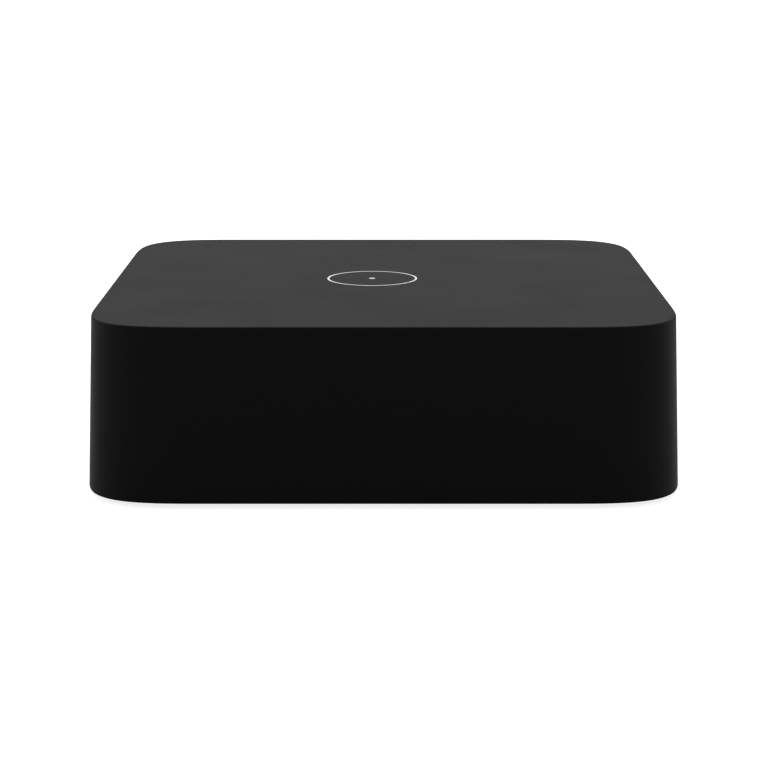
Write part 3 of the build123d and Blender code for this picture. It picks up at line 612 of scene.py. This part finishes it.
class PLAYER_OT_bottom(bpy.types.Operator):
    """Model the bottom plate with its vents, recesses and standoffs, and the rubber feet"""

    bl_idname = "player.bottom"
    bl_label = "Bottom plate and feet"

    def execute(self, context):
        case = context.scene.player_case
        under = context.scene.player_bottom
        low, high, lean = case_values()
        plate_low, plate_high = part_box("base_cover")
        thick = plate_low.z + under.thickness
        size = Vector((plate_high.x - plate_low.x, plate_high.y - plate_low.y))
        reach = case.corner_reach - (high.x - plate_high.x)
        plate = outline_slab("bottom_plate", size, plate_low.z, thick, reach)
        for i in range(under.vent_count):
            x = (i - (under.vent_count - 1) / 2) * under.vent_pitch
            half = Vector((under.vent_width, under.vent_length)) / 2
            slot = block(
                "slot", (x - half.x, under.vent_y - half.y, plate_low.z - PAST),
                (x + half.x, under.vent_y + half.y, thick + PAST),
            )
            bevel(slot, half.x * FULL_ROUND, 8, lambda edge: runs_along(edge, 2))
            combine(plate, slot)
        label_low = (-under.label_width / 2, under.label_y - under.label_depth / 2, plate_low.z - PAST)
        label_top = plate_low.z + under.label_sink
        label_high = (under.label_width / 2, under.label_y + under.label_depth / 2, label_top)
        label = block("label", label_low, label_high)
        bevel(label, under.label_corner, 8, lambda edge: runs_along(edge, 2))
        combine(plate, label)
        spots = self.foot_spots()
        foot_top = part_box("feet")[1].z
        radius = under.foot_radius + under.gap
        for x, y in spots:
            combine(plate, rod("recess", radius, (x, y, plate_low.z - PAST), (x, y, foot_top)))
        weld(plate)

        def lower_edge(edge):
            return level(edge, 2, plate_low.z) and is_corner(edge, CUT_EDGE)

        bevel(plate, under.edge_round, 2, lower_edge)
        self.standoffs(plate, thick)
        smooth(plate)
        ride(plate, "case", "cover_plastic", "cover_plastic", "base_cover")
        self.feet(spots, under)
        return {"FINISHED"}

    def foot_spots(self):
        """Middles of the four feet."""
        low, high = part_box("feet")
        reach = bpy.context.scene.player_bottom.foot_radius
        return [(x, y) for x in (low.x + reach, high.x - reach) for y in (low.y + reach, high.y - reach)]

    def standoffs(self, plate, thick):
        """Posts that carry the board, under its screws."""
        low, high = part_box("board_screws")
        sizes = bpy.context.scene.player_bottom
        head = sizes.screw_head
        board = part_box("main_board")[0].z
        for x in (low.x + head, high.x - head):
            for y in (low.y + head, high.y - head):
                post = rod("post", sizes.standoff, (x, y, thick - PAST), (x, y, board), 48)
                combine(plate, post, "UNION")

    def feet(self, spots, under):
        """Four alike pads with a round along the sole."""
        low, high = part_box("feet")
        x, y = spots[0]
        first = rod("foot_1", under.foot_radius, (x, y, low.z), (x, y, high.z))
        bevel(first, under.foot_round, 4, lambda edge: level(edge, 2, low.z))
        smooth(first)
        feet = [first]
        for number, (to_x, to_y) in enumerate(spots[1:], start=2):
            feet.append(copy_of(first, f"foot_{number}", (to_x - x, to_y - y, 0)))
        for foot in feet:
            ride(foot, "case", "foot_rubber", "foot_rubber", "feet")


class PLAYER_OT_panel(bpy.types.Operator):
    """Model the port panel with a rounded hole for each socket, the button and air"""

    bl_idname = "player.panel"
    bl_label = "Port panel"

    def execute(self, context):
        sizes = context.scene.player_panel
        sockets = context.scene.player_sockets
        low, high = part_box("port_panel")
        back, front = low.y - PAST, high.y + PAST
        panel = block("socket_panel", low, high)

        shell_low, shell_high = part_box("hdmi_shell")
        gap = Vector((sizes.gap, 0, sizes.gap))
        combine(panel, video_form("hole", shell_low - gap, shell_high + gap, back, front))
        shell_low, shell_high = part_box("usb_shell")
        combine(panel, data_form("hole", shell_low - gap, shell_high + gap, back, front))
        shield_low, shield_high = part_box("network_shield")
        hole_low = (shield_low.x - sizes.gap, back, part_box("main_board")[1].z - sizes.gap)
        combine(panel, block("hole", hole_low, (shield_high.x + sizes.gap, front, shield_high.z + sizes.gap)))
        inlet = sockets.bore_radius + sockets.barrel_wall + sizes.gap
        combine(panel, self.round_hole("power_pin", inlet, back, front))
        button = sockets.button_radius + sizes.button_gap
        combine(panel, self.round_hole("reset_button", button, back, front))
        for i in range(sizes.vent_count):
            x = sizes.vent_x + (i - (sizes.vent_count - 1) / 2) * sizes.vent_pitch
            half = Vector((sizes.vent_width, sizes.vent_height)) / 2
            slot = block(
                "slot", (x - half.x, back, sizes.vent_z - half.y),
                (x + half.x, front, sizes.vent_z + half.y),
            )
            bevel(slot, half.x * FULL_ROUND, 8, lambda edge: runs_along(edge, 1))
            combine(panel, slot)
        weld(panel)

        def hole_edge(edge):
            spot = middle(edge)
            inside = abs(spot.x) < high.x - PAST / 2 and low.z + PAST / 2 < spot.z < high.z - PAST / 2
            return inside and level(edge, 1, high.y) and is_corner(edge, CUT_EDGE)

        bevel(panel, sizes.hole_round, 2, hole_edge)
        smooth(panel)
        ride(panel, "case", "panel_plastic", "panel_plastic", "port_panel")
        return {"FINISHED"}

    def round_hole(self, node, radius, back, front):
        """Round cutter in line with a node."""
        low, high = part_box(node)
        x, z = (low.x + high.x) / 2, (low.z + high.z) / 2
        return rod("hole", radius, (x, back, z), (x, front, z), 64)


def video_form(name, low, high, back, front):
    """Bar along Y with the video socket's section: its lower corners slope in."""
    sockets = bpy.context.scene.player_sockets
    bar = block(name, (low.x, back, low.z), (high.x, front, high.z))
    choose(bar, "FACE", lambda face: True)
    waist = (0, 0, low.z + sockets.video_cut_z)
    bpy.ops.mesh.bisect(plane_co=waist, plane_no=(0, 0, 1))
    bpy.ops.object.mode_set(mode="OBJECT")
    choose(bar, "FACE", lambda face: level(face, 2, low.z))
    width = high.x - low.x
    narrow = (width - 2 * sockets.video_cut_x) / width
    bpy.ops.transform.resize(value=(narrow, 1, 1), center_override=((low.x + high.x) / 2, 0, low.z))
    bpy.ops.object.mode_set(mode="OBJECT")
    bevel(bar, sockets.video_corner, 4, lambda edge: runs_along(edge, 1) and is_corner(edge, 20))
    return bar


def data_form(name, low, high, back, front):
    """Bar along Y with the data socket's section: a rectangle with small rounds."""
    bar = block(name, (low.x, back, low.z), (high.x, front, high.z))
    corner = bpy.context.scene.player_sockets.data_corner
    bevel(bar, corner, 5, lambda edge: runs_along(edge, 1))
    return bar


class PLAYER_OT_sockets(bpy.types.Operator):
    """Model the folded shells of the video and data sockets, and the power inlet"""

    bl_idname = "player.sockets"
    bl_label = "Sockets"

    def execute(self, context):
        sockets = context.scene.player_sockets
        self.sleeve("video_sleeve", "hdmi_shell", video_form, sockets.video_metal)
        self.sleeve("data_sleeve", "usb_shell", data_form, sockets.data_metal)
        self.inlet(sockets)
        return {"FINISHED"}

    def sleeve(self, name, node, form, metal):
        """Folded sheet, open at both ends."""
        low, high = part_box(node)
        sheet = Vector((metal, 0, metal))
        sleeve = form(name, low, high, low.y, high.y)
        combine(sleeve, form("inside", low + sheet, high - sheet, low.y - PAST, high.y + PAST))
        weld(sleeve)
        lip = bpy.context.scene.player_sockets.lip
        bevel(sleeve, lip, 2, lambda edge: level(edge, 1, high.y) and is_corner(edge, CUT_EDGE))
        smooth(sleeve)
        ride(sleeve, "case", "bright_steel", "bright_steel", node)

    def inlet(self, sockets):
        """Moulded block with a barrel through the panel, its bore and the pin in it."""
        low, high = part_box("power_body")
        pin_low, pin_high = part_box("power_pin")
        x, z = (pin_low.x + pin_high.x) / 2, (pin_low.z + pin_high.z) / 2
        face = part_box("port_panel")[0].y
        body = block("power_inlet", low, (high.x, face, high.z))
        bevel(body, sockets.lip, 2, lambda edge: is_corner(edge, CUT_EDGE))
        outer = sockets.bore_radius + sockets.barrel_wall
        combine(body, rod("barrel", outer, (x, face - PAST, z), (x, high.y, z)), "UNION")
        bottom = high.y - sockets.bore_depth
        combine(body, rod("bore", sockets.bore_radius, (x, bottom, z), (x, high.y + PAST, z)))
        weld(body)
        bevel(body, 2 * sockets.lip, 3, lambda edge: level(edge, 1, high.y) and is_corner(edge, CUT_EDGE))
        smooth(body)
        ride(body, "case", "socket_plastic", "socket_plastic", "power_body")
        radius = (pin_high.x - pin_low.x) / 2
        pin = rod("inlet_pin", radius, (x, bottom, z), (x, pin_high.y, z), 48)
        bevel(pin, radius * 0.8, 6, lambda edge: level(edge, 1, pin_high.y))
        smooth(pin, 40)
        ride(pin, "case", "bright_steel", "bright_steel", "power_pin")


class PLAYER_OT_button(bpy.types.Operator):
    """Model the reset button's cap with the flange that keeps it in its hole"""

    bl_idname = "player.button"
    bl_label = "Reset button"

    def execute(self, context):
        sockets = context.scene.player_sockets
        low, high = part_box("reset_button")
        x, z = (low.x + high.x) / 2, (low.z + high.z) / 2
        flange = low.y + sockets.button_flange
        cap = rod("reset_cap", (high.x - low.x) / 2, (x, low.y, z), (x, flange, z), 64)
        stem = rod("stem", sockets.button_radius, (x, flange - PAST / 2, z), (x, high.y, z), 64)
        combine(cap, stem, "UNION")
        weld(cap)
        bevel(cap, 3 * sockets.lip, 4, lambda edge: level(edge, 1, high.y))
        smooth(cap)
        ride(cap, "reset", "button_plastic", "button_plastic", "reset_button")
        return {"FINISHED"}


class PLAYER_OT_stage(bpy.types.Operator):
    """Set the pale floor, the soft studio light and the camera"""

    bl_idname = "player.stage"
    bl_label = "Stage"

    def execute(self, context):
        self.floor()
        self.world(context.scene)
        for lamp in LAMPS:
            self.lamp(*lamp)
        self.camera(context.scene)
        context.scene.view_settings.view_transform = "Standard"
        return {"FINISHED"}

    def seen(self, tree):
        """1 for rays that come from the camera or through gloss and glass, else 0."""
        path = add_node(tree, "ShaderNodeLightPath")
        gloss = add_node(
            tree, "ShaderNodeMath", {0: path.outputs["Is Camera Ray"], 1: path.outputs["Is Glossy Ray"]},
            operation="MAXIMUM",
        )
        both = {0: gloss.outputs[0], 1: path.outputs["Is Transmission Ray"]}
        return add_node(tree, "ShaderNodeMath", both, operation="MAXIMUM").outputs[0]

    def floor(self):
        """Wide plane that looks almost white and takes a soft shadow."""
        deselect()
        bpy.ops.mesh.primitive_plane_add(size=FLOOR_SIZE, location=(0, 0, -FLOOR_DROP))
        floor = fresh("floor")
        material = bpy.data.materials.new("pale_floor")
        material.use_nodes = True
        tree = material.node_tree
        tree.nodes.remove(tree.nodes["Principled BSDF"])
        matt = add_node(tree, "ShaderNodeBsdfDiffuse", Color=(FLOOR_MATT, FLOOR_MATT, FLOOR_MATT, 1))
        strength = {"Strength": self.seen(tree)}
        glow_colour = (FLOOR_GLOW, FLOOR_GLOW, FLOOR_GLOW, 1)
        glow = add_node(tree, "ShaderNodeEmission", strength, Color=glow_colour)
        both = add_node(tree, "ShaderNodeAddShader", {0: matt.outputs[0], 1: glow.outputs[0]})
        tree.links.new(both.outputs[0], tree.nodes["Material Output"].inputs["Surface"])
        dress(floor, material)

    def world(self, scene):
        """White surroundings, dimmer as a light than as they are seen."""
        world = bpy.data.worlds.new("studio")
        world.use_nodes = True
        tree = world.node_tree
        light = tree.nodes["Background"]
        light.inputs["Color"].default_value = (1, 1, 1, 1)
        spread = add_node(tree, "ShaderNodeMapRange", {"Value": self.seen(tree)})
        spread.inputs["To Min"].default_value = WORLD_LIGHT
        spread.inputs["To Max"].default_value = WORLD_SEEN
        tree.links.new(spread.outputs["Result"], light.inputs["Strength"])
        scene.world = world

    def lamp(self, name, place, target, size, power):
        """Soft box that points at a target."""
        deselect()
        bpy.ops.object.light_add(type="AREA", location=place)
        lamp = bpy.context.object
        lamp.name = name
        lamp.data.shape = "RECTANGLE"
        lamp.data.size, lamp.data.size_y = size
        lamp.data.energy = power
        aim = Vector(target) - Vector(place)
        lamp.rotation_euler = aim.to_track_quat("-Z", "Y").to_euler()

    def camera(self, scene):
        """Long lens from the front, looking a little down."""
        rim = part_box("housing")[0].z
        deselect()
        place = (CAMERA_X, CAMERA_Y, rim + CAMERA_RISE)
        rotation = (math.pi / 2 - math.radians(CAMERA_PITCH), 0, 0)
        bpy.ops.object.camera_add(location=place, rotation=rotation)
        camera = bpy.context.object
        camera.name = "front_camera"
        camera.data.lens = LENS
        camera.data.sensor_width = SENSOR
        scene.camera = camera


class PLAYER_PT_pieces(bpy.types.Panel):
    """Lists the pieces and the stage in the sidebar"""

    bl_idname = "PLAYER_PT_pieces"
    bl_label = "Media Player"
    bl_space_type = "VIEW_3D"
    bl_region_type = "UI"
    bl_category = "Media Player"

    def draw(self, context):
        for operator in OPERATORS:
            self.layout.operator(operator.bl_idname)
        for name in GROUPS:
            settings = getattr(context.scene, name)
            column = self.layout.column(align=True)
            for key in settings.bl_rna.properties.keys():
                if key not in {"rna_type", "name"}:
                    column.prop(settings, key)


OPERATORS = (
    PLAYER_OT_finishes,
    PLAYER_OT_case,
    PLAYER_OT_mark,
    PLAYER_OT_bottom,
    PLAYER_OT_panel,
    PLAYER_OT_sockets,
    PLAYER_OT_button,
    PLAYER_OT_stage,
)


def register():
    for kind in (*GROUPS.values(), *OPERATORS, PLAYER_PT_pieces):
        bpy.utils.register_class(kind)
    for name, kind in GROUPS.items():
        setattr(bpy.types.Scene, name, PointerProperty(type=kind))


def unregister():
    for name in GROUPS:
        delattr(bpy.types.Scene, name)
    for kind in (PLAYER_PT_pieces, *reversed(OPERATORS), *reversed(list(GROUPS.values()))):
        bpy.utils.unregister_class(kind)


def main():
    """Makes every piece and the stage."""
    register()
    bpy.ops.player.finishes()
    bpy.ops.player.case()
    bpy.ops.player.mark()
    bpy.ops.player.bottom()
    bpy.ops.player.panel()
    bpy.ops.player.sockets()
    bpy.ops.player.button()
    bpy.ops.player.stage()
    deselect()


if __name__ == "__main__":
    main()
